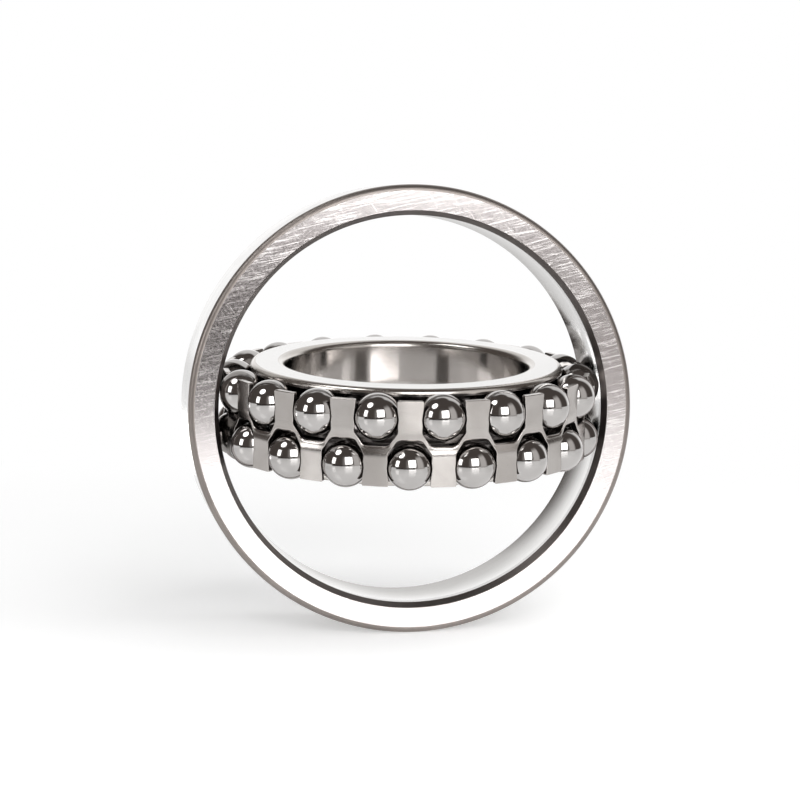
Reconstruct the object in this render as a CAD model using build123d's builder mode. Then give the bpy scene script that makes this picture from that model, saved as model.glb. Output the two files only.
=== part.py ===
"""Double-row self-aligning ball bearing, standing on its outer ring with the inner set swivelled open.

Frame: millimetres, +Z up. The origin is the centre of the spherical race, where all axes of the
bearing meet. The outer ring's axis is Y. The inner set, which is the inner ring, the cage and both
rows of balls, swivels about X and stands almost square to the outer ring.
"""

import os
from math import asin, cos, radians, sin, sqrt, tan

from build123d import *

# Rings. The walls are measured at the middle of the bearing: groove_wall from the bore to the sphere
# on which the balls touch the inner ring, and race_wall from the spherical race to the outside
bore_diameter = 55.0
groove_wall = 6.49
race_wall = 5.85
ring_width = 21.0

# Balls
ball_diameter = 10.0
balls_per_row = 18
row_gap = 0.5
running_clearance = 0.08
upper_row_start = -89.2

# Outer ring
mouth_depth = 1.6
mouth_flare = 1.0
outer_corner = 1.35

# Inner ring. Each groove's radius is a little more than half its balls' diameter
groove_osculation = 0.52
shoulder_height = 1.5
rib_height = 2.3
shoulder_corner = 0.7
bore_corner = 0.8

# Cage
cage_sheet = 1.3
cage_rise = 2.6
tab_reach = 3.85
web_recess = 0.8
web_half_height = 1.0
bend_height = 2.45
bend_radius = 0.6
tip_rounding = 0.3
seat_clearance = 0.25
opening_clearance = 0.1
opening_root_gap = 1.2
opening_narrowing = 0.35
opening_corner = 0.8
ligament_width = 0.9
ligament_angle = 55.0

# How far the inner set leans forward from square to the outer ring, in degrees
inner_set_lean = 5.55

# Places that follow from the sizes above. The balls touch both rings on lines through the centre
half_width = ring_width / 2
bore_radius = bore_diameter / 2
ball_radius = ball_diameter / 2
row_offset = ball_radius + row_gap / 2
ball_reach = bore_radius + groove_wall + running_clearance + ball_radius
pitch_radius = sqrt(ball_reach**2 - row_offset**2)
contact_angle = asin(row_offset / ball_reach)
race_radius = ball_reach + ball_radius + running_clearance
outer_radius = race_radius + race_wall

# The rim is where the race ends at the chamfer of the mouth
rim_height = half_width - mouth_depth
rim_radius = sqrt(race_radius**2 - rim_height**2)
mouth_radius = rim_radius + mouth_flare

# Each groove is centred on the same lines, a little beyond its balls' centres
groove_radius = groove_osculation * ball_diameter
groove_reach = ball_reach - ball_radius - running_clearance + groove_radius
groove_centre_radius = groove_reach * cos(contact_angle)
groove_offset = groove_reach * sin(contact_angle)
groove_floor = groove_centre_radius - groove_radius
shoulder_radius = groove_floor + shoulder_height
rib_radius = groove_floor + rib_height

# The cage lies outside the pitch circle, so that its seats keep the balls on the inner ring
tab_radius = pitch_radius + cage_rise
web_radius = tab_radius - web_recess
cage_reach = row_offset + tab_reach
seat_radius = ball_radius + seat_clearance
opening_half_width = sqrt(seat_radius**2 - cage_rise**2) + opening_clearance
opening_root = -ball_radius - opening_root_gap
opening_mouth = tab_reach + cage_sheet

# A slanted ligament runs halfway between each opening and the next one of the other row. Its side
# cuts the corner between the opening's side and its root
ball_pitch = 360 / balls_per_row
ligament_middle = web_radius * radians(ball_pitch / 4)
ligament_slope = tan(radians(ligament_angle))
ligament_side = ligament_middle - ligament_width / 2 / sin(radians(ligament_angle))
corner_height = -row_offset + (opening_half_width - ligament_side) * ligament_slope
root_half_width = ligament_side + (opening_root + row_offset) / ligament_slope

set_plane = Plane.XY.rotated((inner_set_lean, 0, 0))
set_section = Plane.XZ.rotated((inner_set_lean, 0, 0))
set_axis = Axis((0, 0, 0), set_plane.z_dir)

# Each row has a plane through its ball centres that faces out of the bearing, and a first angle
lower_row_start = upper_row_start + ball_pitch / 2
rows = {
    "upper": (set_plane.offset(row_offset), upper_row_start),
    "lower": ((-set_plane).offset(row_offset), -lower_row_start),
}

parts = []

# Outer ring: a plain band outside, one spherical race inside and a chamfered mouth on each side
with BuildPart() as outer_ring:
    with BuildSketch(Plane.XY) as outer_section:
        Rectangle(outer_radius, ring_width, align=(Align.MIN, Align.CENTER))
        fillet(outer_section.vertices().group_by(Axis.X)[-1], radius=outer_corner)
        Circle(race_radius, mode=Mode.SUBTRACT)
        for side in (1, -1):
            with BuildLine():
                Polyline(
                    (0, side * rim_height),
                    (rim_radius, side * rim_height),
                    (mouth_radius, side * half_width),
                    (0, side * half_width),
                    close=True,
                )
            make_face(mode=Mode.SUBTRACT)
    revolve(axis=Axis.Y)
outer_ring.part.label = "outer_ring"
parts.append(outer_ring.part)

# Inner ring: a bored ring with two ball grooves, a rib between them and low shoulders outside
with BuildPart() as inner_ring:
    with BuildSketch(set_section) as inner_section:
        with Locations((bore_radius, 0)):
            Rectangle(shoulder_radius - bore_radius, ring_width, align=(Align.MIN, Align.CENTER))
        fillet(inner_section.vertices().group_by(Axis.X)[-1], radius=shoulder_corner)
        fillet(inner_section.vertices().group_by(Axis.X)[0], radius=bore_corner)
        with Locations((bore_radius, 0)):
            Rectangle(rib_radius - bore_radius, 2 * groove_offset, align=(Align.MIN, Align.CENTER))
        with Locations((groove_centre_radius, groove_offset), (groove_centre_radius, -groove_offset)):
            Circle(groove_radius, mode=Mode.SUBTRACT)
    revolve(axis=set_axis)
inner_ring.part.label = "inner_ring"
parts.append(inner_ring.part)

# One punched opening of the cage: a straight root, two slanted corners, and sides that close in a
# little towards the mouth
with BuildPart() as opening:
    with BuildSketch(Plane.YZ) as opening_outline:
        with BuildLine():
            Polyline(
                (root_half_width, opening_root),
                (opening_half_width, corner_height),
                (opening_half_width - opening_narrowing, opening_mouth),
                (-opening_half_width + opening_narrowing, opening_mouth),
                (-opening_half_width, corner_height),
                (-root_half_width, opening_root),
                close=True,
            )
        make_face()
        corners = opening_outline.vertices().sort_by(Axis.Y)
        fillet(corners[:4], radius=opening_corner)
    extrude(amount=cage_rise + cage_sheet)

# The round seat that each ball has in the sheet around its opening
with BuildPart() as seat:
    Sphere(seat_radius)

# Cage: one pressed ring, set back between the rows and open from both sides half a pitch apart
sheet_face = [
    (tab_radius, -cage_reach),
    (tab_radius, -bend_height),
    (web_radius, -web_half_height),
    (web_radius, web_half_height),
    (tab_radius, bend_height),
    (tab_radius, cage_reach),
]
sheet_back = [(radius - cage_sheet, height) for radius, height in reversed(sheet_face)]
with BuildPart() as cage:
    with BuildSketch(set_section) as cage_section:
        with BuildLine():
            Polyline(*sheet_face, *sheet_back, close=True)
        make_face()
        corners = cage_section.vertices().sort_by(Axis.Y)
        fillet(corners[2:-2], radius=bend_radius)
        corners = cage_section.vertices().sort_by(Axis.Y)
        fillet(corners[:2] + corners[-2:], radius=tip_rounding)
    revolve(axis=set_axis)
    for cutter in (opening, seat):
        for row_plane, row_start in rows.values():
            with Locations(row_plane):
                with PolarLocations(pitch_radius, balls_per_row, start_angle=row_start):
                    add(cutter.part, mode=Mode.SUBTRACT)
cage.part.label = "cage"
parts.append(cage.part)

# Balls: each row in its pockets, between its groove and the race
for row_name, (row_plane, row_start) in rows.items():
    for index in range(balls_per_row):
        with BuildPart(row_plane) as ball:
            with PolarLocations(pitch_radius, 1, start_angle=row_start + index * ball_pitch):
                Sphere(ball_radius)
        ball.part.label = f"ball_{row_name}_{index + 1:02d}"
        parts.append(ball.part)

os.makedirs("parts", exist_ok=True)
for part in parts:
    export_step(part, f"parts/{part.label}.step")
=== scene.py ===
"""Looks of a double-row self-aligning ball bearing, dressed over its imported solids.

The rings, the cage and the balls are surfaces worked out with numpy from the sizes of the solids,
with their edges eased. A few sizes differ from the solids': the inner ring's corners and the corners
of the cage's openings are rounder, the openings' roots lie closer to the balls and are rolled, and
the cage's web is set back less, with gentler bends. Sizes are in millimetres and become metres when
a mesh is made. The outer ring's axis is Y. The inner set leans forward about X.
"""

import logging
from dataclasses import dataclass, field
from enum import IntEnum
from math import asin, cos, pi, radians, sin, sqrt, tan
from typing import Sequence

import bpy
import numpy as np
from bpy.types import ID, Material, Mesh, Node, NodeSocket, NodeTree, Object
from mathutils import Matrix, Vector

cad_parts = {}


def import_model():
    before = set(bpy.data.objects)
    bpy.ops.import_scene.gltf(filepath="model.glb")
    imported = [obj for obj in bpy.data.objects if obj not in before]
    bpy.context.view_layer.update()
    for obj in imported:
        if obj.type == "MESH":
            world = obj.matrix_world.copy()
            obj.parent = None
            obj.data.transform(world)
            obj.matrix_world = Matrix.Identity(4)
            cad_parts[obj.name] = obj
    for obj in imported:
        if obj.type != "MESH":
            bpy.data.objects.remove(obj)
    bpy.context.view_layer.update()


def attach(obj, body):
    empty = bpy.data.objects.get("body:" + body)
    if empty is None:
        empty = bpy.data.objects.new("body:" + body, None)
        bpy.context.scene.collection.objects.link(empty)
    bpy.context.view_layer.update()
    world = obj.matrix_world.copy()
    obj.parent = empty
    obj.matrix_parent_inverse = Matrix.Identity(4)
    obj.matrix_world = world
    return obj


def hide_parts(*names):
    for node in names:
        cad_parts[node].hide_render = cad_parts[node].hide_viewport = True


METRES = 0.001

Span = tuple[float, float]
Colour = tuple[float, float, float]

log = logging.getLogger("bearing")


# Outlines and grids


@dataclass(frozen=True)
class Outline:
    """A line of points in a plane, with the side that each point faces.

    Attributes:
        points: Points of the line, one row each.
        facing: Unit normals, to the right of the line's direction.
        corner: The number of the corner that each point was made from.
    """

    points: np.ndarray
    facing: np.ndarray
    corner: np.ndarray

    def spans(self, arcs: Sequence[int], flats: Sequence[int]) -> np.ndarray:
        """Gives each step of a closed outline its zone.

        Args:
            arcs: The zone of each corner's arc.
            flats: The zone of the stretch that follows each corner.

        Returns:
            One zone number per step, from each point to the next.
        """
        after = np.roll(self.corner, -1)
        return np.where(after == self.corner, np.take(arcs, self.corner), np.take(flats, self.corner))


def ease_corners(corners: np.ndarray, easing: Sequence[float], steps: int = 6) -> Outline:
    """Rounds the corners of a closed polygon.

    With a and b the unit directions into and out of a corner c, and t the turn between them, the arc
    of radius r has its centre at c + (b - a) r / |sin t|. Its points lie r from there, along normals
    that turn evenly from a's normal to b's. A corner with no easing gives one point.

    Args:
        corners: The polygon's corners, one row each, with its inside on the left.
        easing: The radius at each corner.
        steps: How many steps each arc has. It is even.

    Returns:
        The eased outline.
    """
    radius = np.asarray(easing, dtype=float)
    into = corners - np.roll(corners, 1, axis=0)
    into /= np.linalg.norm(into, axis=1, keepdims=True)
    out = np.roll(into, -1, axis=0)
    heading = np.arctan2(into[:, 1], into[:, 0])
    turn = np.arctan2(into[:, 0] * out[:, 1] - into[:, 1] * out[:, 0], np.sum(into * out, axis=1))
    part = np.linspace(0.0, 1.0, steps + 1)
    angle = heading[:, None] + turn[:, None] * part[None, :]
    facing = np.stack([np.sin(angle), -np.cos(angle)], axis=-1)
    reach = np.divide(radius, np.abs(np.sin(turn)), out=np.zeros_like(radius), where=radius > 0)
    centre = corners + (out - into) * reach[:, None]
    points = centre[:, None, :] + facing * (np.sign(turn) * radius)[:, None, None]
    kept = (radius > 0)[:, None] | (np.arange(steps + 1) == steps // 2)[None, :]
    number = np.broadcast_to(np.arange(len(corners))[:, None], kept.shape)
    return Outline(points[kept], facing[kept], number[kept])


def spread(values: np.ndarray, steps: Sequence[int]) -> np.ndarray:
    """Divides each stretch between rows into even steps, by linear interpolation.

    Args:
        values: Rows of numbers, one row per node.
        steps: How many steps each stretch gets.

    Returns:
        The rows at every step, with the last node included.
    """
    counts = np.asarray(steps)
    first = np.repeat(np.arange(len(counts)), counts)
    within = (np.arange(counts.sum()) - np.repeat(np.cumsum(counts) - counts, counts)) / counts[first]
    place = np.append(first + within, len(counts))
    nodes = np.arange(len(values))
    return np.stack([np.interp(place, nodes, column) for column in values.T], axis=1)


@dataclass(frozen=True)
class Seating:
    """How a ring of its own axis stands in the bearing.

    Attributes:
        across: Direction of the ring's first radius.
        around: Direction of its radius a quarter turn on.
        along: Direction of its axis.
    """

    across: np.ndarray
    around: np.ndarray
    along: np.ndarray

    def place(self, radius: np.ndarray, angle: np.ndarray, height: np.ndarray) -> np.ndarray:
        """Turns radius, angle in radians and height into points: r cos a, r sin a and h on its axes."""
        return (
            (radius * np.cos(angle))[..., None] * self.across
            + (radius * np.sin(angle))[..., None] * self.around
            + (height + 0.0 * angle)[..., None] * self.along
        )


def upright_seating() -> Seating:
    """Gives the outer ring's seating: its axis is Y and its first radius is X."""
    return Seating(np.array([1.0, 0, 0]), np.array([0, 0, -1.0]), np.array([0, 1.0, 0]))


def leaning_seating(lean: float) -> Seating:
    """Gives the inner set's seating: its axis is Z turned about X by the lean, in degrees."""
    c, s = cos(radians(lean)), sin(radians(lean))
    return Seating(np.array([1.0, 0, 0]), np.array([0, c, s]), np.array([0, -s, c]))


def grid_quads(shape: tuple[int, int], closed: tuple[bool, bool]) -> np.ndarray:
    """Numbers the quads of a grid of points: (i, j), (i + 1, j), (i + 1, j + 1) and (i, j + 1).

    Args:
        shape: How many rows and columns of points there are.
        closed: Whether the last row leads back to the first one, and the last column likewise.

    Returns:
        Four point numbers per quad.
    """
    rows, columns = shape
    steps = [np.arange(count if joined else count - 1) for count, joined in zip(shape, closed)]
    i, j = np.meshgrid(*steps, indexing="ij")
    i2, j2 = (i + 1) % rows, (j + 1) % columns
    quads = np.stack([i * columns + j, i2 * columns + j, i2 * columns + j2, i * columns + j2], axis=-1)
    return quads.reshape(-1, 4)


def grid_mesh(name: str, points: np.ndarray, facing: np.ndarray, zones: np.ndarray) -> Mesh:
    """Makes a mesh of a grid that closes on itself both ways, as a torus does.

    Args:
        name: The mesh's name.
        points: Points in millimetres, of shape (rows, columns, 3).
        facing: Their unit normals, of the same shape.
        zones: The material number of each column's step, or of each row's and column's.

    Returns:
        The mesh, smooth, with its faces pointing outwards.
    """
    shape = points.shape[:2]
    quads = grid_quads(shape, (True, True))
    flat = points.reshape(-1, 3)
    normals = facing.reshape(-1, 3)
    face = np.cross(flat[quads[:, 2]] - flat[quads[:, 0]], flat[quads[:, 3]] - flat[quads[:, 1]])
    if np.sum(face * normals[quads[:, 0]]) < 0:
        quads = quads[:, ::-1]
    slots = np.broadcast_to(zones, shape).ravel().astype(np.int32)
    mesh = bpy.data.meshes.new(name)
    mesh.vertices.add(len(flat))
    mesh.vertices.foreach_set("co", (flat * METRES).ravel())
    mesh.loops.add(quads.size)
    mesh.loops.foreach_set("vertex_index", quads.ravel().astype(np.int32))
    mesh.polygons.add(len(quads))
    mesh.polygons.foreach_set("loop_start", np.arange(0, quads.size, 4, dtype=np.int32))
    mesh.polygons.foreach_set("material_index", slots)
    return smooth(mesh, normals)


def smooth(mesh: Mesh, normals: np.ndarray) -> Mesh:
    """Shades a mesh smoothly, with the normals of its points given."""
    mesh.polygons.foreach_set("use_smooth", np.ones(len(mesh.polygons), dtype=bool))
    mesh.update(calc_edges=True)
    mesh.normals_split_custom_set_from_vertices(normals)
    return mesh


def turned_mesh(name: str, section: tuple[Outline, np.ndarray], seating: Seating, turns: int) -> Mesh:
    """Turns a closed outline of radius and height about a seating's axis.

    Each point (r, h) of the outline, at each of the even angles a, becomes r cos a, r sin a and h on
    the seating's axes, and its normal turns with it.

    Args:
        name: The mesh's name.
        section: The outline, as radius and height, and the material number of each of its steps.
        seating: Where the axis stands.
        turns: How many steps a whole turn has.

    Returns:
        The mesh.
    """
    outline, zones = section
    angle = np.linspace(0.0, 2 * pi, turns, endpoint=False)[:, None]
    points = seating.place(outline.points[None, :, 0], angle, outline.points[None, :, 1])
    facing = seating.place(outline.facing[None, :, 0], angle, outline.facing[None, :, 1])
    return grid_mesh(name, points, facing, zones)


def ball_mesh(name: str, centre: np.ndarray, radius: float, seating: Seating, steps: tuple[int, int]) -> Mesh:
    """Makes a sphere: at polar angle p and turn a its normal is sin p cos a, sin p sin a and cos p.

    Args:
        name: The mesh's name.
        centre: The ball's centre in millimetres.
        radius: Its radius.
        seating: The axes that it is built on.
        steps: Steps from pole to pole, and around.

    Returns:
        The mesh, smooth, with its poles closed.
    """
    rings, turns = steps
    polar = np.linspace(0.0, pi, rings + 1)[1:-1, None]
    angle = np.linspace(0.0, 2 * pi, turns, endpoint=False)[None, :]
    normals = seating.place(np.sin(polar) + 0 * angle, angle + 0 * polar, np.cos(polar) + 0 * angle)
    normals = np.concatenate([normals.reshape(-1, 3), [seating.along, -seating.along]])
    quads = grid_quads((rings - 1, turns), (False, True))
    edge = np.arange(turns)
    after = (edge + 1) % turns
    last = (rings - 2) * turns
    top = np.stack([edge, after, np.full(turns, len(normals) - 2)], axis=1)
    low = np.stack([last + after, last + edge, np.full(turns, len(normals) - 1)], axis=1)
    mesh = bpy.data.meshes.new(name)
    points = (centre + radius * normals) * METRES
    mesh.from_pydata(points.tolist(), [], quads.tolist() + top.tolist() + low.tolist())
    return smooth(mesh, normals)


# The scene


def put_in_scene(name: str, data: ID) -> Object:
    """Makes an object of a mesh, a lamp or a camera, and links it to the scene."""
    thing = bpy.data.objects.new(name, data)
    bpy.context.scene.collection.objects.link(thing)
    return thing


def show(mesh: Mesh, finishes: Sequence[Material]) -> Object:
    """Puts a mesh into the scene as a piece of its own name, with its materials in order."""
    for material in finishes:
        mesh.materials.append(material)
    return put_in_scene(mesh.name, mesh)


def hang(name: str, data: ID, azimuth: float, elevation: float, distance: float) -> Object:
    """Hangs a lamp or a camera so that it faces the bearing.

    With azimuth a and elevation e, it is in the direction sin a cos e, -cos a cos e and sin e.

    Args:
        name: The object's name.
        data: The lamp or the camera.
        azimuth: Its direction from straight in front, towards +X, in degrees.
        elevation: Its height above the horizon in degrees.
        distance: Its distance from the bearing's centre in metres.

    Returns:
        The object.
    """
    a, e = radians(azimuth), radians(elevation)
    direction = Vector((sin(a) * cos(e), -cos(a) * cos(e), sin(e)))
    holder = put_in_scene(name, data)
    holder.location = direction * distance
    holder.rotation_mode = "QUATERNION"
    holder.rotation_quaternion = direction.to_track_quat("Z", "Y")
    return holder


def stage_sheet(name: str, points: np.ndarray, material: Material, in_view: bool = False) -> None:
    """Makes a part of the studio from an open grid of points.

    Args:
        name: Its name.
        points: Points in metres, of shape (rows, columns, 3).
        material: Its material.
        in_view: Whether the camera and all light see it, or reflections alone.
    """
    mesh = bpy.data.meshes.new(name)
    quads = grid_quads(points.shape[:2], (False, False))
    mesh.from_pydata(points.reshape(-1, 3).tolist(), [], quads.tolist())
    sheet = show(mesh, [material])
    for ray in ("camera", "diffuse", "shadow", "transmission", "volume_scatter"):
        setattr(sheet, f"visible_{ray}", in_view)


# Shader nodes


@dataclass
class Wiring:
    """A node tree being wired.

    Attributes:
        tree: The node tree of a material, world or group.
    """

    tree: NodeTree

    def feed(self, socket: NodeSocket, value: object) -> None:
        """Wires another socket into a socket, or sets it to a value."""
        if isinstance(value, NodeSocket):
            self.tree.links.new(value, socket)
        else:
            socket.default_value = value

    def add(self, kind: str, settings: dict | None = None, **inputs: object) -> Node:
        """Adds a node.

        Args:
            kind: The node's type, without its ShaderNode prefix.
            settings: Properties of the node itself.
            **inputs: Values or sockets for its inputs, by name with underscores for spaces. A name
                of the form i0 means the input of that number.

        Returns:
            The node.
        """
        prefix = "" if kind.startswith("Node") else "ShaderNode"
        node = self.tree.nodes.new(prefix + kind)
        for key, value in (settings or {}).items():
            setattr(node, key, value)
        for key, value in inputs.items():
            numbered = key[0] == "i" and key[1:].isdigit()
            self.feed(node.inputs[int(key[1:]) if numbered else key.replace("_", " ")], value)
        return node

    def math(self, operation: str, *values: object, clamp: bool = False) -> NodeSocket:
        """Adds a Math node on values or sockets and returns its result."""
        inputs = {f"i{n}": value for n, value in enumerate(values)}
        return self.add("Math", {"operation": operation, "use_clamp": clamp}, **inputs).outputs[0]

    def vector(self, operation: str, *values: object, **inputs: object) -> Sequence[NodeSocket]:
        """Adds a Vector Math node on values or sockets and returns its Vector and its Value."""
        inputs |= {f"i{n}": value for n, value in enumerate(values)}
        return tuple(self.add("VectorMath", {"operation": operation}, **inputs).outputs)

    def ramp(
        self, value: object, low: object, high: object, start: float = 0.0, end: float = 1.0
    ) -> NodeSocket:
        """Adds a smooth Map Range, from the span low to high to start and end."""
        spans = {"From_Min": low, "From_Max": high, "To_Min": start, "To_Max": end}
        return self.add("MapRange", {"interpolation_type": "SMOOTHSTEP"}, Value=value, **spans).outputs[0]

    def fall(self, value: object, low: float, high: float) -> NodeSocket:
        """Adds a smooth Map Range that falls from 1 to 0."""
        return self.ramp(value, low, high, 1.0, 0.0)

    def product(self, first: object, second: object) -> NodeSocket:
        """Adds a Math node that multiplies two values or sockets."""
        return self.math("MULTIPLY", first, second)

    def blend(self, factor: object, first: object, second: object) -> NodeSocket:
        """Adds a colour Mix of two colours or sockets and returns its result."""
        return self.add("Mix", {"data_type": "RGBA"}, i0=factor, i6=first, i7=second).outputs[2]

    def group(self, shared: NodeTree, **inputs: object) -> Node:
        """Places a shared effect, with its inputs set by name as in add."""
        return self.add("Group", {"node_tree": shared}, **inputs)

    def object_place(self) -> NodeSocket:
        """Adds the Object coordinates."""
        return self.add("TexCoord").outputs["Object"]


def bare_material(name: str) -> tuple[Material, Wiring]:
    """Makes a material with no nodes yet, and its wiring."""
    material = bpy.data.materials.new(name)
    material.use_nodes = True
    material.node_tree.nodes.clear()
    return material, Wiring(material.node_tree)


def new_effect(name: str, inputs: dict[str, object], outputs: Sequence[str]) -> tuple[Wiring, list, Node]:
    """Starts a shared effect as a node group.

    Args:
        name: The group's name.
        inputs: The default of each input: a number, or three of them or None for a vector.
        outputs: Names of the outputs, which are numbers.

    Returns:
        The group's wiring, its inputs as sockets in order, and its output node.
    """
    tree = bpy.data.node_groups.new(name, "ShaderNodeTree")
    for label, value in inputs.items():
        kind = "NodeSocketFloat" if isinstance(value, float) else "NodeSocketVector"
        socket = tree.interface.new_socket(name=label, in_out="INPUT", socket_type=kind)
        if value is not None:
            socket.default_value = value
    for label in outputs:
        tree.interface.new_socket(name=label, in_out="OUTPUT", socket_type="NodeSocketFloat")
    wiring = Wiring(tree)
    source = wiring.add("NodeGroupInput")
    sink = wiring.add("NodeGroupOutput")
    return wiring, [source.outputs[label] for label in inputs], sink


def grind_effect() -> NodeTree:
    """Builds long straight scratches that run along the vector's X.

    The mark is a noise of the vector, scaled by Length along X and by Fineness across it. Only its
    highest values stay, and more of them the higher Cover is.

    Returns:
        A group with inputs Vector, Fineness, Length and Cover and output Mark, from 0 to 1.
    """
    inputs = {"Vector": None, "Fineness": 3000.0, "Length": 60.0, "Cover": 0.5}
    w, (place, fineness, length, cover), sink = new_effect("grind marks", inputs, ["Mark"])
    scale = w.add("CombineXYZ", X=length, Y=fineness, Z=fineness).outputs[0]
    stretched = w.vector("MULTIPLY", place, scale)[0]
    lines = w.add("TexNoise", Vector=stretched, Scale=1.0, Detail=3.0, Roughness=0.6).outputs[0]
    low = w.math("SUBTRACT", 0.66, w.product(cover, 0.2))
    w.feed(sink.inputs["Mark"], w.ramp(lines, low, w.math("ADD", low, 0.16)))
    return w.tree


def lathe_effect() -> NodeTree:
    """Builds fine lines that run round an axis, as turning and honing leave them.

    With h the height along the axis and r the distance from it, the mark is a noise of r, h and a
    little of the vector itself, so that the lines waver and fade on their way round.

    Returns:
        A group with inputs Vector, Axis, Fineness and Waver and output Mark, from 0 to 1.
    """
    inputs = {"Vector": None, "Axis": (0.0, 0.0, 1.0), "Fineness": 4000.0, "Waver": 40.0}
    w, (place, axis, fineness, waver), sink = new_effect("lathe lines", inputs, ["Mark"])
    height = w.vector("DOT_PRODUCT", place, axis)[1]
    radius = w.vector("LENGTH", w.vector("CROSS_PRODUCT", place, axis)[0])[1]
    lines = w.add("CombineXYZ", X=w.product(radius, fineness), Y=w.product(height, fineness)).outputs[0]
    wavering = w.vector("ADD", lines, w.vector("SCALE", place, Scale=waver)[0])[0]
    noise = w.add("TexNoise", Vector=wavering, Scale=1.0, Detail=2.0, Roughness=0.55).outputs[0]
    w.feed(sink.inputs["Mark"], w.ramp(noise, 0.3, 0.7))
    return w.tree


def haze_effect() -> NodeTree:
    """Builds soft uneven patches, such as oil film and handling leave on steel.

    The patch is a coarse noise whose place is pushed about by itself, and the speck is a fine one.

    Returns:
        A group with inputs Vector and Scale and outputs Patch and Speck, both from 0 to 1.
    """
    w, (place, scale), sink = new_effect("steel haze", {"Vector": None, "Scale": 60.0}, ["Patch", "Speck"])
    patch = w.add("TexNoise", Vector=place, Scale=scale, Detail=4.0, Roughness=0.55, Distortion=0.6)
    speck = w.add("TexNoise", Vector=place, Scale=w.product(scale, 45.0), Detail=2.0, Roughness=0.7)
    w.feed(sink.inputs["Patch"], w.ramp(patch.outputs[0], 0.3, 0.7))
    w.feed(sink.inputs["Speck"], w.ramp(speck.outputs[0], 0.35, 0.75))
    return w.tree


@dataclass(frozen=True)
class Effects:
    """The effects that several finishes share.

    Attributes:
        grind: Straight grinding scratches.
        lathe: Lines round an axis.
        haze: Soft patches and specks.
    """

    grind: NodeTree
    lathe: NodeTree
    haze: NodeTree


def opaque(colour: Colour) -> tuple[float, float, float, float]:
    """Adds full opacity to a colour."""
    return (*colour, 1.0)


@dataclass(frozen=True)
class Finish:
    """A steel surface.

    Attributes:
        name: The material's name.
        bright: Colour of its clean metal.
        dull: Colour of its hazed or worn patches.
        roughness: Roughness of the clean metal.
        uneven: How much the haze adds to the roughness.
        relief: Height of its marks in millimetres.
    """

    name: str
    bright: Colour
    dull: Colour
    roughness: float
    uneven: float
    relief: float

    def start(self) -> tuple[Material, Wiring, Node, NodeSocket]:
        """Makes the material with a bare metal shader.

        Returns:
            The material, its wiring, its Principled shader and its Object coordinates.
        """
        material, w = bare_material(self.name)
        metal = {"Metallic": 1.0, "Roughness": self.roughness, "Base_Color": opaque(self.bright)}
        shader = w.add("BsdfPrincipled", **metal)
        w.add("OutputMaterial", Surface=shader.outputs[0])
        return material, w, shader, w.object_place()

    def finish(self, w: Wiring, shader: Node, patch: object, rough: object, height: object) -> None:
        """Wires the surface's variation to its shader.

        Args:
            w: The material's wiring.
            shader: Its Principled shader.
            patch: How dull each place is, from 0 to 1.
            rough: What is added to the roughness at each place, from 0 to 1.
            height: The height of its marks, from 0 to 1.
        """
        spans = {"To_Min": self.roughness, "To_Max": self.roughness + self.uneven}
        bump = w.add("Bump", Strength=1.0, Distance=self.relief * METRES, Height=height)
        w.feed(shader.inputs["Base Color"], w.blend(patch, opaque(self.bright), opaque(self.dull)))
        w.feed(shader.inputs["Roughness"], w.add("MapRange", Value=rough, **spans).outputs[0])
        w.feed(shader.inputs["Normal"], bump.outputs[0])


@dataclass(frozen=True)
class TurnedFinish(Finish):
    """Steel with lines round an axis: turned, honed or ground between centres.

    Attributes:
        axis: Direction of the axis.
        fineness: Lines per metre, about.
        waver: How quickly the lines fade on their way round.
    """

    axis: Colour = (0.0, 1.0, 0.0)
    fineness: float = 4000.0
    waver: float = 40.0

    def make(self, effects: Effects) -> Material:
        """Makes the material from the lathe lines and the haze."""
        material, w, shader, place = self.start()
        settings = {"Axis": self.axis, "Fineness": self.fineness, "Waver": self.waver}
        lines = w.group(effects.lathe, Vector=place, **settings).outputs["Mark"]
        haze = w.product(w.group(effects.haze, Vector=place, Scale=70.0).outputs["Patch"], 0.5)
        patch = w.math("MULTIPLY_ADD", lines, 0.35, haze, clamp=True)
        self.finish(w, shader, patch, w.math("MULTIPLY_ADD", lines, 0.5, haze), lines)
        return material


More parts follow.
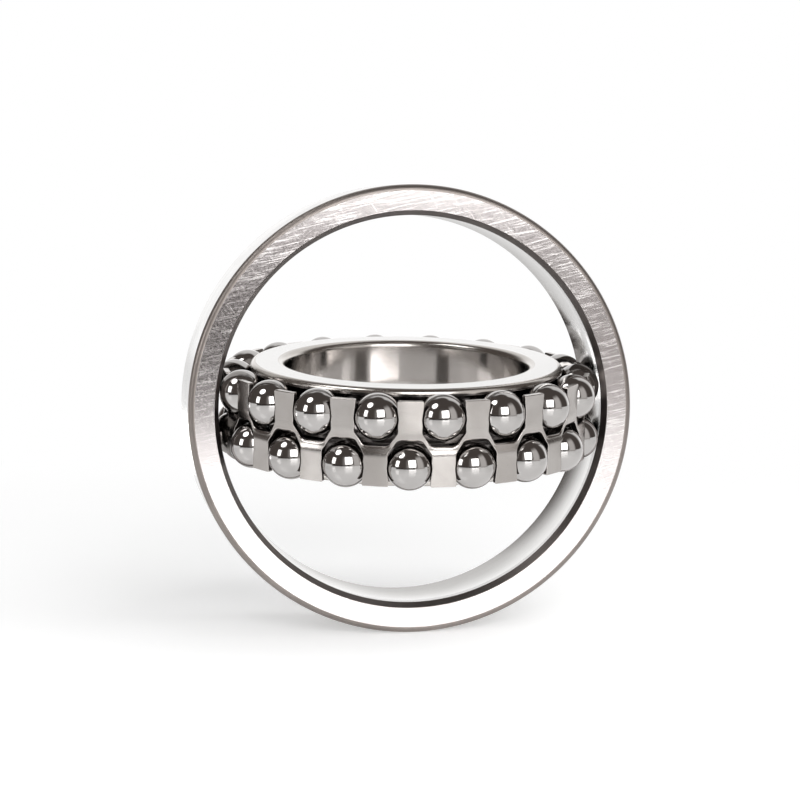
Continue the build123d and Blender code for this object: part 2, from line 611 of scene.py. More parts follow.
@dataclass(frozen=True)
class GroundFinish(Finish):
    """A face ground flat, with two sets of straight scratches that cross and a few long ones.

    Attributes:
        turn: Rotation that lays the face's plane in X and Y, in degrees.
        headings: Directions of the two sets of scratches in that plane, in degrees.
        calm: How much of the scratches is left where the face is farthest towards -X.
        calm_span: From where to where along X they come back in full, in metres.
    """

    turn: Colour = (90.0, 0.0, 0.0)
    headings: Span = (12.0, -55.0)
    calm: float = 0.4
    calm_span: Span = (-0.046, -0.030)

    def make(self, effects: Effects) -> Material:
        """Makes the material from three layers of scratches: level, steep and long.

        The level and the steep set add up where they cross, and the long set stands out from both. All
        thin out towards -X. The scratches are brighter and rougher than the ground between them, and
        the haze changes both a little from place to place.
        """
        material, w, shader, place = self.start()
        laid = w.add("Mapping", Vector=place, Rotation=tuple(radians(t) for t in self.turn)).outputs[0]
        level, steep = self.headings
        marks = []
        for heading, cover, length, fineness in (
            (level, 0.75, 150.0, 2600.0),
            (steep, 0.35, 210.0, 3000.0),
            (level - 3.0, 0.12, 60.0, 2100.0),
        ):
            turned = w.add("Mapping", Vector=laid, Rotation=(0.0, 0.0, radians(heading))).outputs[0]
            layer = w.group(effects.grind, Vector=turned, Fineness=fineness, Length=length, Cover=cover)
            marks.append(layer.outputs["Mark"])
        crossed = w.math("MULTIPLY_ADD", marks[1], 0.45, w.product(marks[0], 0.55))
        side = w.add("SeparateXYZ", Vector=place).outputs[0]
        scratch_share = w.ramp(side, *self.calm_span, self.calm, 1.0)
        streaks = w.product(w.math("MAXIMUM", crossed, marks[2], clamp=True), scratch_share)
        haze = w.group(effects.haze, Vector=place, Scale=38.0)
        ground = w.math("MULTIPLY_ADD", haze.outputs["Patch"], 0.25, 0.75)
        patch = w.math("SUBTRACT", ground, streaks, clamp=True)
        rough = w.math("MULTIPLY_ADD", streaks, 0.7, w.product(haze.outputs["Speck"], 0.3))
        self.finish(w, shader, patch, rough, streaks)
        return material


@dataclass(frozen=True)
class PressedFinish(Finish):
    """Pressed sheet with a fine even grain."""

    def make(self, effects: Effects) -> Material:
        """Makes the material from specks, haze and grain."""
        material, w, shader, place = self.start()
        haze = w.group(effects.haze, Vector=place, Scale=90.0)
        patch, speck = haze.outputs["Patch"], haze.outputs["Speck"]
        grain = w.add("TexNoise", Vector=place, Scale=5200.0, Detail=2.0, Roughness=0.6).outputs[0]
        height = w.math("MULTIPLY_ADD", speck, 0.5, w.product(grain, 0.5))
        self.finish(w, shader, patch, w.math("MULTIPLY_ADD", speck, 0.6, w.product(patch, 0.4)), height)
        return material


@dataclass(frozen=True)
class PolishedFinish(Finish):
    """A lapped ball: a mirror with the faintest haze."""

    def make(self, effects: Effects) -> Material:
        """Makes the material from very faint haze."""
        material, w, shader, place = self.start()
        haze = w.group(effects.haze, Vector=place, Scale=160.0).outputs
        self.finish(w, shader, haze["Patch"], haze["Patch"], haze["Speck"])
        return material


# Fineness and waver of the lines that each way of working leaves, as TurnedFinish has them
TURNED_LINES = (3800.0, 30.0)
GROUND_LINES = (5200.0, 30.0)
BORED_LINES = (5200.0, 25.0)
HONED_LINES = (6500.0, 20.0)


# The bearing


@dataclass(frozen=True)
class BearingSizes:
    """Sizes that the pieces share, in millimetres and degrees, as the solids have them."""

    outer_radius: float = 50.0
    race_radius: float = 44.15
    half_width: float = 10.5
    ball_radius: float = 5.0
    running_clearance: float = 0.08
    row_offset: float = 5.25
    balls_per_row: int = 18
    upper_row_start: float = -89.2
    lean: float = 5.55

    @property
    def ball_reach(self) -> float:
        """Distance of the ball centres from the bearing's centre."""
        return self.race_radius - self.running_clearance - self.ball_radius

    @property
    def pitch_radius(self) -> float:
        """Radius of the circle of a row's ball centres."""
        return sqrt(self.ball_reach**2 - self.row_offset**2)

    @property
    def contact_angle(self) -> float:
        """Angle of the lines of contact from the bearing's middle plane, in radians."""
        return asin(self.row_offset / self.ball_reach)

    @property
    def ball_pitch(self) -> float:
        """Angle between two balls of a row, in degrees."""
        return 360.0 / self.balls_per_row


class OuterZone(IntEnum):
    """The surfaces of the outer ring, in the order of its materials."""

    OUTSIDE = 0
    CORNER = 1
    FACE = 2
    MOUTH = 3
    RACE = 4


@dataclass
class OuterRing:
    """The outer ring, with its spherical race and a chamfered mouth on each side."""

    sizes: BearingSizes
    mouth_depth: float = 1.6
    mouth_flare: float = 1.0
    corner: float = 1.35
    edge: float = 0.15
    race_steps: int = 44
    turns: int = 320

    def section(self) -> tuple[Outline, np.ndarray]:
        """Draws the section: a band whose inside is the circle r = sqrt(R^2 - y^2) of the race.

        Returns:
            The eased outline and the zone of each of its steps.
        """
        s = self.sizes
        rim = s.half_width - self.mouth_depth
        mouth = sqrt(s.race_radius**2 - rim**2) + self.mouth_flare
        y = np.linspace(rim, -rim, self.race_steps + 1)
        race = np.stack([np.sqrt(s.race_radius**2 - y**2), y], axis=1)
        outside = [[s.outer_radius, -s.half_width], [s.outer_radius, s.half_width]]
        corners = np.concatenate([outside, [[mouth, s.half_width]], race, [[mouth, -s.half_width]]])
        mouths = [2, 3, -2, -1]
        easing = np.zeros(len(corners))
        easing[:2] = self.corner
        easing[mouths] = self.edge
        outline = ease_corners(corners, easing)
        arcs = np.full(len(corners), OuterZone.RACE)
        arcs[:2] = OuterZone.CORNER
        arcs[mouths] = OuterZone.MOUTH
        flats = np.full(len(corners), OuterZone.RACE)
        flats[0] = OuterZone.OUTSIDE
        flats[[1, -1]] = OuterZone.FACE
        flats[[2, -2]] = OuterZone.MOUTH
        return outline, outline.spans(arcs, flats)

    def finishes(self) -> list[Finish]:
        """Lists the ring's finishes in the order of its zones."""
        y = (0.0, 1.0, 0.0)
        outside = (0.60, 0.59, 0.58), (0.50, 0.49, 0.48), 0.17, 0.08, 0.0010
        corner = (0.34, 0.305, 0.285), (0.23, 0.205, 0.19), 0.38, 0.10, 0.003
        face = (0.85, 0.825, 0.815), (0.52, 0.485, 0.48), 0.14, 0.20, 0.0033
        mouth = (0.20, 0.18, 0.17), (0.13, 0.115, 0.11), 0.28, 0.12, 0.003
        race = (0.54, 0.53, 0.52), (0.47, 0.46, 0.45), 0.10, 0.06, 0.0006
        return [
            TurnedFinish("outer ground outside", *outside, y, *GROUND_LINES),
            TurnedFinish("outer turned corner", *corner, y, *TURNED_LINES),
            GroundFinish("outer ground face", *face),
            TurnedFinish("outer turned mouth", *mouth, y, *TURNED_LINES),
            TurnedFinish("outer honed race", *race, y, *HONED_LINES),
        ]

    def build(self, effects: Effects) -> Object:
        """Makes the ring and puts it in the place of its solid."""
        mesh = turned_mesh("outer_ring_finished", self.section(), upright_seating(), self.turns)
        piece = show(mesh, [finish.make(effects) for finish in self.finishes()])
        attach(piece, "outer_ring")
        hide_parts("outer_ring")
        return piece


class InnerZone(IntEnum):
    """The surfaces of the inner ring, in the order of its materials."""

    FACE = 0
    CORNER = 1
    # The shoulders and the rib are painted darker than their steel: painted shade.
    SHOULDER = 2
    # The grooves are painted near black: painted shade.
    GROOVE = 3
    BORE = 4


@dataclass
class InnerRing:
    """The inner ring, with two ball grooves, a rib between them and a shoulder outside each."""

    sizes: BearingSizes
    bore_radius: float = 27.5
    groove_radius: float = 5.2
    shoulder_height: float = 1.5
    rib_height: float = 2.3
    shoulder_corner: float = 1.15
    bore_corner: float = 1.5
    edge: float = 0.12
    groove_steps: int = 18
    turns: int = 288

    def section(self) -> tuple[Outline, np.ndarray]:
        """Draws the section: each groove is an arc of the circle round (groove centre, offset).

        A groove's points are centre - r cos t and offset + r sin t, with t from the angle at which the
        circle meets the rib to the one at which it meets the shoulder.

        Returns:
            The eased outline and the zone of each of its steps.
        """
        s, radius = self.sizes, self.groove_radius
        reach = s.ball_reach - s.ball_radius - s.running_clearance + radius
        centre, offset = reach * cos(s.contact_angle), reach * sin(s.contact_angle)
        shoulder = centre - radius + self.shoulder_height
        rib = centre - radius + self.rib_height
        at_shoulder = np.arccos((centre - shoulder) / radius)
        at_rib = np.arccos((centre - rib) / radius)
        t = np.linspace(-at_rib, at_shoulder, self.groove_steps + 1)
        groove = np.stack([centre - radius * np.cos(t), offset + radius * np.sin(t)], axis=1)
        mirrored = groove[::-1] * [1.0, -1.0]
        low = [[self.bore_radius, -s.half_width], [shoulder, -s.half_width]]
        high = [[shoulder, s.half_width], [self.bore_radius, s.half_width]]
        corners = np.concatenate([low, mirrored, groove, high])
        n, g = len(corners), self.groove_steps + 1
        groove_ends = [2, 1 + g, 2 + g, 1 + 2 * g]
        easing = np.zeros(n)
        easing[[0, n - 1]] = self.bore_corner
        easing[[1, n - 2]] = self.shoulder_corner
        easing[groove_ends] = self.edge
        outline = ease_corners(corners, easing)
        arcs = np.full(n, InnerZone.GROOVE)
        arcs[[0, 1, n - 2, n - 1]] = InnerZone.CORNER
        arcs[groove_ends] = InnerZone.SHOULDER
        flats = np.full(n, InnerZone.GROOVE)
        flats[[0, n - 2]] = InnerZone.FACE
        flats[[1, 1 + g, 1 + 2 * g]] = InnerZone.SHOULDER
        flats[n - 1] = InnerZone.BORE
        return outline, outline.spans(arcs, flats)

    def finishes(self, axis: Colour) -> list[Finish]:
        """Lists the ring's finishes in the order of its zones."""
        face = (0.74, 0.73, 0.72), (0.64, 0.63, 0.62), 0.18, 0.12, 0.0010
        corner = (0.60, 0.57, 0.54), (0.50, 0.47, 0.44), 0.17, 0.08, 0.0015
        # The shoulders' and the rib's dark grey is painted shade.
        shoulder = (0.24, 0.22, 0.21), (0.17, 0.155, 0.15), 0.20, 0.10, 0.002
        # The grooves' near-black is painted shade. The honed steel itself is bright.
        groove = (0.15, 0.14, 0.135), (0.11, 0.10, 0.098), 0.14, 0.05, 0.0005
        bore = (0.60, 0.58, 0.565), (0.55, 0.53, 0.515), 0.07, 0.035, 0.0002
        return [
            GroundFinish("inner ground face", *face, (-self.sizes.lean, 0.0, 0.0)),
            TurnedFinish("inner turned corner", *corner, axis, *TURNED_LINES),
            TurnedFinish("inner turned shoulder painted shade", *shoulder, axis, *TURNED_LINES),
            TurnedFinish("inner honed groove painted shade", *groove, axis, *HONED_LINES),
            TurnedFinish("inner ground bore", *bore, axis, *BORED_LINES),
        ]

    def build(self, effects: Effects) -> Object:
        """Makes the ring and puts it in the place of its solid."""
        seating = leaning_seating(self.sizes.lean)
        mesh = turned_mesh("inner_ring_finished", self.section(), seating, self.turns)
        piece = show(mesh, [finish.make(effects) for finish in self.finishes(tuple(seating.along))])
        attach(piece, "inner_ring")
        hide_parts("inner_ring")
        return piece


class CageZone(IntEnum):
    """The surfaces of the cage, in the order of its materials."""

    SHEET = 0
    EDGE = 1
    # The cut wall is painted near black: painted shade.
    CUT = 2
    # The back is painted darker than the sheet: painted shade.
    BACK = 3


@dataclass
class Cage:
    """The pressed cage: one ribbon of sheet that zigzags between the two rows' openings.

    Each half cell of the ribbon runs beside an opening, along the root, the slanted ligament, the
    side and the tab's end, with a corner between each and the next.
    """

    sizes: BearingSizes
    sheet: float = 1.3
    rise: float = 2.6
    tab_reach: float = 3.85
    web_recess: float = 0.35
    web_half_height: float = 1.0
    bend_height: float = 2.45
    bend_radius: float = 5.0
    seat_clearance: float = 0.25
    opening_clearance: float = 0.1
    root_gap: float = 0.75
    narrowing: float = 0.35
    opening_corner: float = 1.3
    tip_corner: float = 0.3
    ligament_width: float = 0.9
    ligament_angle: float = 55.0
    root_edge: float = 0.65
    middle_edge: float = 0.22
    side_edge: float = 0.16
    back_edge: float = 0.1
    root_steps: int = 14
    ligament_steps: int = 6
    side_steps: int = 5
    end_steps: int = 3
    corner_steps: int = 6
    front_steps: int = 26
    back_steps: int = 8
    profile: np.ndarray = field(init=False)

    def __post_init__(self) -> None:
        """Draws the sheet's face as heights and radii, with its bends eased."""
        tab = self.sizes.pitch_radius + self.rise
        web, inside = tab - self.web_recess, tab - 30.0
        bend, half = self.bend_height, self.web_half_height
        reach = self.sizes.row_offset + self.tab_reach + 5.0
        rows = [[-reach, inside], [reach, inside], [reach, tab], [bend, tab], [half, web]]
        rows += [[-half, web], [-bend, tab], [-reach, tab]]
        points = ease_corners(np.array(rows), [0.0] * 3 + [self.bend_radius] * 4 + [0.0]).points
        bends = points[np.abs(points[:, 0]) < bend + 2.0]
        self.profile = bends[np.argsort(bends[:, 0], kind="stable")].T

    @property
    def path_steps(self) -> int:
        """How many steps an opening's path has, with its three corners in it."""
        straight = self.root_steps + self.ligament_steps + self.side_steps + self.end_steps
        return straight + 3 * self.corner_steps

    def face_radius(self, height: np.ndarray) -> np.ndarray:
        """Gives the radius of the sheet's face at each height."""
        return np.interp(height, *self.profile)

    def face_slope(self, height: np.ndarray) -> np.ndarray:
        """Gives how fast the face's radius grows with height, from a short step to either side."""
        step = 0.05
        return (self.face_radius(height + step) - self.face_radius(height - step)) / (2 * step)

    def opening_path(self, radius: float) -> tuple[np.ndarray, np.ndarray]:
        """Draws half of an upper opening, from the middle of its root to the middle of the next tab.

        The points are tangential distance and height. They run along the root, up the slanted
        ligament, up the opening's side and along the tab's end, which is at half a ball's pitch.

        Args:
            radius: The radius at which the tab's end is drawn.

        Returns:
            The points, and unit normals that point into the sheet.
        """
        s = self.sizes
        seat = s.ball_radius + self.seat_clearance
        half = sqrt(seat**2 - self.rise**2) + self.opening_clearance
        root = -s.ball_radius - self.root_gap
        mouth = self.tab_reach + self.sheet
        web = s.pitch_radius + self.rise - self.web_recess
        steep = radians(self.ligament_angle)
        side = web * radians(s.ball_pitch / 4) - self.ligament_width / 2 / sin(steep)
        corner = -s.row_offset + (half - side) * tan(steep)
        root_half = side + (root + s.row_offset) / tan(steep)
        tip = half - self.narrowing * (self.tab_reach - corner) / (mouth - corner)
        end = radius * sin(radians(s.ball_pitch / 2))
        nodes = [[0.0, root], [root_half, root], [half, corner], [tip, self.tab_reach], [end, self.tab_reach]]
        closing = [[end, 50.0], [0.0, 50.0]]
        easing = [0.0, self.opening_corner, self.opening_corner, self.tip_corner, 0.0, 0.0, 0.0]
        eased = ease_corners(np.array(nodes + closing), easing, self.corner_steps)
        kept = eased.corner < len(nodes)
        facing = eased.facing[kept]
        facing[0] = facing[1]
        facing[-1] = facing[-2]
        bend = [1] * self.corner_steps
        steps = [self.root_steps, *bend, self.ligament_steps, *bend, self.side_steps, *bend, self.end_steps]
        path = spread(np.concatenate([eased.points[kept], facing], axis=1), steps)
        path[:, 1] += s.row_offset
        return path[:, :2], path[:, 2:] / np.linalg.norm(path[:, 2:], axis=1, keepdims=True)

    def front_edge(self) -> np.ndarray:
        """Gives the roundness of the face's edge at each point of an opening's path.

        It is the root's as far as the root goes, falls along the slanted ligament and is the side's
        from there on.
        """
        places = [0, 12, 21, 30, self.path_steps]
        edges = [self.root_edge, self.root_edge, self.middle_edge, self.side_edge, self.side_edge]
        return np.interp(np.arange(self.path_steps + 1.0), places, edges)

    def upper_edge(self, depth: np.ndarray, inset: np.ndarray, lean_out: float, way: float) -> np.ndarray:
        """Works out the edge round an upper opening at one depth in the sheet.

        The path is moved into the sheet by the inset, then pushed out to the ball's seat where the
        seat is wider: a point q from the ball's radius goes out to sqrt(R^2 - h^2), with R the seat's
        radius and h its height above the pitch circle. A tangential distance t lies at asin(t / r).

        Args:
            depth: Depth below the sheet's face at each point.
            inset: How far the edge lies inside the path at each point.
            lean_out: How much the edge faces the opening, from 0 to 1.
            way: 1 if the rest of its normal faces out of the bearing, and -1 if it faces in.

        Returns:
            Rows of angle, radius, height and the normal's parts around, out and along.
        """
        s = self.sizes
        path, into = self.opening_path(s.pitch_radius + self.rise - depth[-1])
        t, z = (path + into * inset[:, None]).T
        seat = s.ball_radius + self.seat_clearance
        for _ in range(2):
            radius = self.face_radius(z) - depth
            height = np.sqrt(radius**2 - t**2) - s.pitch_radius
            round_seat = np.sqrt(np.maximum(seat**2 - height**2, 0.0)) + inset
            away = np.hypot(t, z - s.row_offset)
            push = np.maximum(1.0, round_seat / np.maximum(away, 1e-6))
            t, z = t * push, s.row_offset + (z - s.row_offset) * push
        radius = self.face_radius(z) - depth
        slope = self.face_slope(z)
        flat = way * sqrt(max(0.0, 1.0 - lean_out**2)) / np.sqrt(1 + slope**2)
        normal = [-into[:, 0] * lean_out, flat, -into[:, 1] * lean_out - flat * slope]
        return np.stack([np.arcsin(t / radius), radius, z, *normal], axis=1)

    def lower_edge(self, upper: np.ndarray) -> np.ndarray:
        """Turns an upper edge into the lower one: half a turn about the middle of the ligament."""
        turned = upper[::-1] * [-1.0, 1.0, -1.0, -1.0, 1.0, -1.0]
        turned[:, 0] += radians(self.sizes.ball_pitch / 2)
        return turned

    def between(self, upper: np.ndarray, depth: float, way: float, steps: int) -> np.ndarray:
        """Fills the sheet between its two edges: low + v (high - low), with v eased at both ends.

        Args:
            upper: The upper edge's rows.
            depth: Depth below the sheet's face.
            way: 1 for the face and -1 for the back.
            steps: Steps from edge to edge.

        Returns:
            An array of rows for each point of the edges, with both edges in it.
        """
        lower = self.lower_edge(upper)
        v = ((1 - np.cos(np.linspace(0.0, pi, steps + 1))) / 2)[None, :]
        angle, z = (lower[:, k, None] * (1 - v) + upper[:, k, None] * v for k in (0, 2))
        slope = self.face_slope(z)
        out = way / np.sqrt(1 + slope**2)
        return np.stack([angle, self.face_radius(z) - depth, z, 0 * z, out, -out * slope], axis=-1)

    def half_cell(self) -> np.ndarray:
        """Works out the sheet from an upper opening's middle to the next lower opening's middle.

        The wall between face and back has the face's edge as an arc, two steps of cut wall and the
        back's edge as an arc: at angle p an edge of radius r lies r (1 - cos p) deep and
        r (1 - sin p) from the wall.

        Returns:
            Rows of angle, radius, height and normal, of shape (along the ribbon, round it, 6).
        """
        turns = np.radians([15.0, 30.0, 45.0, 60.0, 75.0, 90.0])
        front = self.front_edge()
        back = np.full(len(front), self.back_edge)
        layers = [(front * (1 - cos(p)), front * (1 - sin(p)), sin(p), 1.0) for p in turns]
        wall = self.sheet - back - front
        layers += [(front + wall * part, 0.0 * front, 1.0, 1.0) for part in (1 / 3, 2 / 3)]
        layers += [(self.sheet - back * (1 - cos(p)), back * (1 - sin(p)), sin(p), -1.0) for p in turns[::-2]]
        upper = np.stack([self.upper_edge(*layer) for layer in layers], axis=1)
        lower = np.stack([self.lower_edge(upper[:, k]) for k in range(upper.shape[1])], axis=1)
        top = self.upper_edge(0.0 * front, front, 0.0, 1.0)
        low = self.upper_edge(self.sheet + 0.0 * front, back, 0.0, -1.0)
        face = self.between(top, 0.0, 1.0, self.front_steps)
        rear = self.between(low, self.sheet, -1.0, self.back_steps)
        return np.concatenate([face, upper, rear[:, ::-1], lower[:, ::-1]], axis=1)

    def zones(self) -> np.ndarray:
        """Gives each step its zone: the face, its edge, the cut wall and the back.

        Round a tab's end the wall is as bright as its edge. The upper wall's path ends there, and the
        lower wall's begins there, because it runs the other way. Elsewhere the cut wall is painted near
        black and the back darker than the sheet, both as painted shade.

        Returns:
            Zones of shape (steps along the ribbon, steps round it).
        """
        front = [CageZone.SHEET] * self.front_steps
        back = [CageZone.BACK] * self.back_steps
        wall = [CageZone.EDGE] * 4 + [CageZone.CUT] * 8
        half = np.tile(np.array(front + wall + back + wall[::-1]), (self.path_steps, 1))
        tip = self.corner_steps + self.end_steps
        half[-tip:, len(front) : len(front) + len(wall)] = CageZone.EDGE
        half[:tip, -len(wall) :] = CageZone.EDGE
        return np.tile(np.concatenate([half, half[::-1]]), (self.sizes.balls_per_row, 1))

    def mesh(self) -> Mesh:
        """Repeats the half cell round the bearing: each is the mirror image of the one before."""
        s = self.sizes
        half = self.half_cell()
        mirror = half[::-1] * [-1.0, 1.0, 1.0, -1.0, 1.0, 1.0]
        mirror[..., 0] += radians(s.ball_pitch)
        period = np.concatenate([half[:-1], mirror[:-1]])
        ribbon = np.tile(period, (s.balls_per_row, 1, 1))
        step = np.repeat(np.arange(s.balls_per_row), len(period))[:, None]
        angle, radius, height, around, out, along = np.moveaxis(ribbon, -1, 0)
        angle = angle + step * radians(s.ball_pitch) + radians(s.upper_row_start)
        seating = leaning_seating(s.lean)
        facing = seating.place(out, angle, along) + seating.place(around, angle + pi / 2, 0 * angle)
        facing /= np.linalg.norm(facing, axis=-1, keepdims=True)
        return grid_mesh("cage_finished", seating.place(radius, angle, height), facing, self.zones())

    def finishes(self) -> list[Finish]:
        """Lists the cage's finishes in the order of its zones."""
        sheet = (0.49, 0.465, 0.445), (0.41, 0.385, 0.365), 0.18, 0.10, 0.0014
        edge = (0.52, 0.49, 0.47), (0.44, 0.41, 0.39), 0.16, 0.06, 0.0005
        # The cut wall's near-black is painted shade, not a colour of the steel.
        cut = (0.075, 0.066, 0.062), (0.050, 0.044, 0.040), 0.30, 0.12, 0.003
        # The back's darker grey is painted shade. Its steel is the sheet's.
        back = (0.34, 0.32, 0.30), (0.26, 0.24, 0.225), 0.28, 0.12, 0.003
        return [
            PressedFinish("cage pressed sheet", *sheet),
            PressedFinish("cage rolled edge", *edge),
            PressedFinish("cage cut wall painted shade", *cut),
            PressedFinish("cage back painted shade", *back),
        ]

    def build(self, effects: Effects) -> Object:
        """Makes the cage and puts it in the place of its solid."""
        piece = show(self.mesh(), [finish.make(effects) for finish in self.finishes()])
        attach(piece, "cage")
        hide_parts("cage")
        return piece


class Row(IntEnum):
    """The two rows of balls, by the side of the middle plane that they are on."""

    UPPER = 1
    LOWER = -1


@dataclass
class BallRow:
    """One row of balls, each a piece of its own.

    Attributes:
        sizes: The bearing's sizes.
        row: Which row it is.
        steps: Steps of each ball from pole to pole, and around.
    """

    sizes: BearingSizes
    row: Row
    steps: tuple[int, int] = (40, 60)

    def angles(self) -> np.ndarray:
        """Gives the angle of each ball in degrees. The lower row is counted the other way round."""
        s = self.sizes
        shift = 0.0 if self.row is Row.UPPER else s.ball_pitch / 2
        return s.upper_row_start + shift + self.row * np.arange(s.balls_per_row) * s.ball_pitch

    def build(self, material: Material) -> list[Object]:
        """Makes the row's balls, each in the place of its solid."""
        s = self.sizes
        seating = leaning_seating(s.lean)
        angle = np.radians(self.angles())
        level = np.ones(len(angle))
        centres = seating.place(level * s.pitch_radius, angle, level * self.row * s.row_offset)
        pieces = []
        for number, centre in enumerate(centres, start=1):
            node = f"ball_{self.row.name.lower()}_{number:02d}"
            mesh = ball_mesh(f"{node}_polished", centre, s.ball_radius, seating, self.steps)
            piece = show(mesh, [material])
            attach(piece, "cage")
            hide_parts(node)
            pieces.append(piece)
        return pieces


# The studio


@dataclass(frozen=True)
class Softbox:
    """A square lamp that faces the bearing.

    Attributes:
        name: The lamp's name.
        azimuth: Its direction from straight in front, towards +X, in degrees.
        elevation: Its height above the horizon in degrees.
        width: The angle that it fills across, in degrees.
        height: The angle that it fills up and down, in degrees.
        radiance: How bright its face is, where 1 is white.
        round_face: Whether it is an oval.
        in_metal: Whether metal reflects it.
        on_matt: Whether it lights matt things such as the floor.
    """

    name: str
    azimuth: float
    elevation: float
    width: float
    height: float
    radiance: float
    round_face: bool = False
    in_metal: bool = True
    on_matt: bool = True

    def build(self, distance: float = 1.25) -> None:
        """Hangs the lamp at a distance in metres."""
        lamp = bpy.data.lights.new(self.name, "AREA")
        lamp.shape = "ELLIPSE" if self.round_face else "RECTANGLE"
        lamp.size = 2 * distance * tan(radians(self.width / 2))
        lamp.size_y = 2 * distance * tan(radians(self.height / 2))
        area = lamp.size * lamp.size_y * (pi / 4 if self.round_face else 1.0)
        lamp.energy = self.radiance * pi * area
        holder = hang(self.name, lamp, self.azimuth, self.elevation, distance)
        holder.visible_glossy = self.in_metal
        holder.visible_diffuse = self.on_matt


@dataclass(frozen=True)
class Panel:
    """A pale glowing patch of the studio's walls, by the degrees over which it fades.

    Attributes:
        rise: Where it begins in azimuth.
        fall: Where it ends in azimuth.
        top: Where it ends in elevation.
    """

    rise: Span
    fall: Span
    top: Span

    def mask(self, w: Wiring, azimuth: NodeSocket, elevation: NodeSocket) -> NodeSocket:
        """Gives 1 on the panel and 0 off it."""
        across = w.product(w.ramp(azimuth, *self.rise), w.fall(azimuth, *self.fall))
        return w.product(across, w.fall(elevation, *self.top))


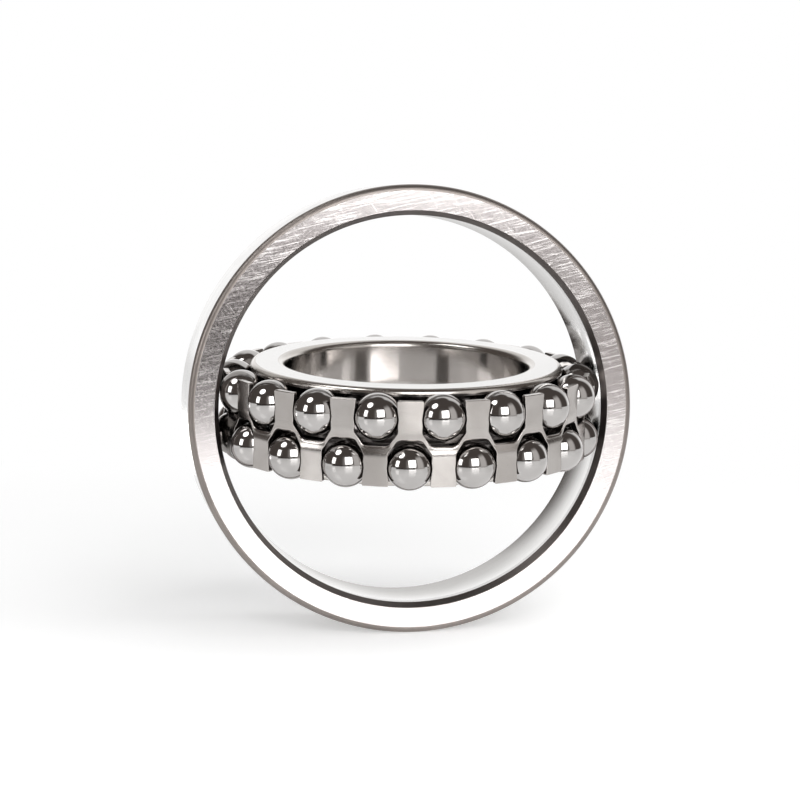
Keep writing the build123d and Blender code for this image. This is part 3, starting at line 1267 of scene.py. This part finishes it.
@dataclass
class Studio:
    """The pale floor, the walls that only reflections see, the lamps, the world and the camera."""

    floor_height: float = -50.0
    floor_reach: float = 6.0
    wall_radius: float = 2.4
    camera_yaw: float = -10.52
    camera_pitch: float = 5.68
    camera_distance: float = 467.0
    lens: float = 92.7
    shift: Span = (-0.0070, 0.0079)
    white: Colour = (1.0, 1.0, 1.0)
    floor_glow: float = 0.31
    card_radiance: float = 5.5
    panel: Panel = Panel((25.0, 34.0), (56.0, 70.0), (34.0, 56.0))
    spill: Panel = Panel((-32.0, -12.0), (-4.0, 0.0), (30.0, 46.0))

    def seen_mask(self, w: Wiring) -> NodeSocket:
        """Gives 1 for rays from the camera, and for glossy and transmitted rays, and 0 for others."""
        path = w.add("LightPath").outputs
        mask = w.math("MAXIMUM", path["Is Camera Ray"], path["Is Glossy Ray"])
        return w.math("MAXIMUM", mask, path["Is Transmission Ray"])

    def glow(self, w: Wiring, strength: object, colour: object = None) -> NodeSocket:
        """Adds an Emission, white if no colour is given."""
        return w.add("Emission", Color=colour or opaque(self.white), Strength=strength).outputs[0]

    def floor(self) -> None:
        """Lays the floor: matt and white to the camera, with a soft gloss in reflections.

        Close to the bearing it is paper with a faint glow. It turns to plain white over 0.11 to 0.33 m
        from the middle beside and behind the bearing, and over 0.40 to 0.90 m all round.
        """
        material, w = bare_material("floor paper")
        place = w.object_place()
        fibre = w.add("TexNoise", Vector=place, Scale=900.0, Detail=2.0).outputs[0]
        paper = w.blend(w.product(fibre, 0.06), (0.90, 0.90, 0.90, 1.0), (0.84, 0.84, 0.84, 1.0))
        matt = w.add("BsdfDiffuse", Color=paper).outputs[0]
        sheen = w.add("BsdfGlossy", Color=opaque(self.white), Roughness=0.22).outputs[0]
        mirror = w.add("Fresnel", IOR=1.5).outputs[0]
        gloss = w.product(mirror, w.add("LightPath").outputs["Is Glossy Ray"])
        coated = w.add("MixShader", i0=gloss, i1=matt, i2=sheen).outputs[0]
        seen = self.seen_mask(w)
        near = w.add("AddShader", i0=coated, i1=self.glow(w, w.product(seen, self.floor_glow))).outputs[0]
        away = w.vector("LENGTH", place)[1]
        back = w.ramp(w.add("SeparateXYZ", Vector=place).outputs[1], -0.30, -0.12)
        behind = w.product(w.ramp(away, 0.11, 0.33), back)
        far = w.math("MAXIMUM", behind, w.ramp(away, 0.40, 0.90))
        whole = w.add("MixShader", i0=w.product(seen, far), i1=near, i2=self.glow(w, 1.0))
        w.add("OutputMaterial", Surface=whole.outputs[0])
        ends = [-self.floor_reach, self.floor_reach]
        x, y = np.meshgrid(ends, ends, indexing="ij")
        points = np.stack([x, y, np.full(x.shape, self.floor_height * METRES)], axis=-1)
        stage_sheet("studio_floor", points, material, in_view=True)

    def world(self) -> None:
        """Makes the world: white behind the object, and a plain soft fill for its light."""
        world = bpy.data.worlds.new("studio air")
        bpy.context.scene.world = world
        world.use_nodes = True
        w = Wiring(world.node_tree)
        w.tree.nodes.clear()
        strength = w.add("MapRange", Value=self.seen_mask(w), To_Min=0.45, To_Max=1.0).outputs[0]
        air = w.add("Background", Color=opaque(self.white), Strength=strength)
        w.add("OutputWorld", Surface=air.outputs[0])

    def walls(self) -> None:
        """Hangs the studio's dark walls, which only reflections see, and lays three cards.

        The walls are part of a sphere round the bearing: with azimuth a and elevation e, a point is
        R sin a cos e, -R cos a cos e and R sin e. They glow, though they are no lamps, and their glow is
        painted by a and e.
        """
        a = np.radians(np.linspace(-180.0, 180.0, 97))[:, None]
        e = np.radians(np.linspace(-1.2, 90.0, 40))[None, :]
        x = self.wall_radius * np.sin(a) * np.cos(e)
        y = -self.wall_radius * np.cos(a) * np.cos(e)
        z = self.wall_radius * np.sin(e) + 0 * a
        stage_sheet("studio_walls", np.stack([x, y, z], axis=-1), self.wall_glow())
        self.card("studio_dark_floor", (-75.0, 14.0), (0.42, 3.0), (0.052, 0.045, 0.042), 1.0)
        self.card("studio_grey_floor", (14.0, 65.0), (0.42, 3.0), (0.62, 0.60, 0.585), 1.0)
        # A bright glowing card, no lamp, that metal shows as a painted reflection.
        self.card("studio_glowing_back_card", (-176.0, -121.0), (0.24, 0.44), self.white, self.card_radiance)

    def card(self, name: str, azimuth: Span, reach: Span, colour: Colour, strength: float) -> None:
        """Lays a glowing card on the floor that only reflections see. It is no lamp.

        With azimuth a from the first to the last and distance d the near or the far one, its points
        are d sin a and -d cos a.

        Args:
            name: The card's name.
            azimuth: Its first and last azimuth in degrees.
            reach: Its near and far distance in metres.
            colour: Its colour.
            strength: How brightly it glows, where 1 is white.
        """
        a = np.radians(np.linspace(*azimuth, 25))[:, None]
        d = np.array(reach)[None, :]
        height = np.full((len(a), 2), self.floor_height * METRES + 0.001)
        material, w = bare_material(name.replace("_", " "))
        w.add("OutputMaterial", Surface=self.glow(w, strength, opaque(colour)))
        stage_sheet(name, np.stack([d * np.sin(a), -d * np.cos(a), height], axis=-1), material)

    def wall_glow(self) -> Material:
        """Paints the walls' glow: dark in front and overhead, with two pale glowing panels, and open behind.
        """
        material, w = bare_material("studio walls")
        x, y, z = w.add("SeparateXYZ", Vector=w.object_place()).outputs
        azimuth = w.math("DEGREES", w.math("ARCTAN2", x, w.product(y, -1.0)))
        flat = w.math("SQRT", w.math("ADD", w.product(x, x), w.product(y, y)))
        elevation = w.math("DEGREES", w.math("ARCTAN2", z, flat))
        level = w.product(self.panel.mask(w, azimuth, elevation), 0.75)
        level = w.math("MULTIPLY_ADD", self.spill.mask(w, azimuth, elevation), 0.34, level)
        side = w.math("MAXIMUM", w.ramp(azimuth, 102.0, 118.0), w.fall(azimuth, -172.0, -140.0))
        higher = w.product(w.ramp(elevation, 8.0, 30.0, 1.0, 0.75), w.fall(elevation, 60.0, 70.0))
        colour = w.blend(level, (0.105, 0.090, 0.082, 1.0), (1.0, 0.97, 0.95, 1.0))
        colour = w.blend(w.product(side, higher), colour, (1.3, 1.3, 1.3, 1.0))
        # The walls glow with this colour, though they are no lamps: painted light that metal reflects.
        w.add("OutputMaterial", Surface=self.glow(w, 1.0, colour))
        return material

    def lamps(self) -> None:
        """Hangs the softboxes. Two of them show in metal alone, and the broad one lights matt things."""
        for softbox in (
            Softbox("main softbox", 5.0, 20.0, 34.0, 34.0, 4.5),
            Softbox("oval softbox", -70.0, 54.0, 24.0, 24.0, 5.0, True, on_matt=False),
            Softbox("side softbox", -71.0, 16.0, 17.0, 24.0, 4.0, on_matt=False),
            Softbox("broad fill", 45.0, 50.0, 40.0, 40.0, 2.2, in_metal=False),
        ):
            softbox.build()

    def camera(self) -> None:
        """Sets the camera where the photograph was taken from."""
        data = bpy.data.cameras.new("camera")
        data.sensor_width = 36.0
        data.sensor_fit = "HORIZONTAL"
        data.lens = self.lens
        data.shift_x, data.shift_y = self.shift
        data.clip_start, data.clip_end = 0.01, 30.0
        distance = self.camera_distance * METRES
        bpy.context.scene.camera = hang("camera", data, self.camera_yaw, self.camera_pitch, distance)

    def build(self) -> None:
        """Builds the whole studio."""
        self.camera()
        self.floor()
        self.world()
        self.walls()
        self.lamps()
        bpy.context.scene.view_settings.view_transform = "Standard"


def report(piece: Object) -> None:
    """Logs a piece's name and how many triangles it has."""
    triangles = sum(len(polygon.vertices) - 2 for polygon in piece.data.polygons)
    log.info("%s: %d triangles, %d finishes", piece.name, triangles, len(piece.data.materials))


def main() -> None:
    """Builds the studio and the bearing's pieces in order."""
    logging.basicConfig(level=logging.INFO, format="%(name)s: %(message)s")
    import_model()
    sizes = BearingSizes()
    effects = Effects(grind_effect(), lathe_effect(), haze_effect())
    Studio(floor_height=-sizes.outer_radius).build()
    report(OuterRing(sizes).build(effects))
    report(InnerRing(sizes).build(effects))
    report(Cage(sizes).build(effects))
    ball = (0.50, 0.485, 0.475), (0.47, 0.455, 0.445), 0.07, 0.03, 0.00004
    polished = PolishedFinish("ball polished steel", *ball).make(effects)
    for row in Row:
        for piece in BallRow(sizes, row).build(polished):
            report(piece)


if __name__ == "__main__":
    main()
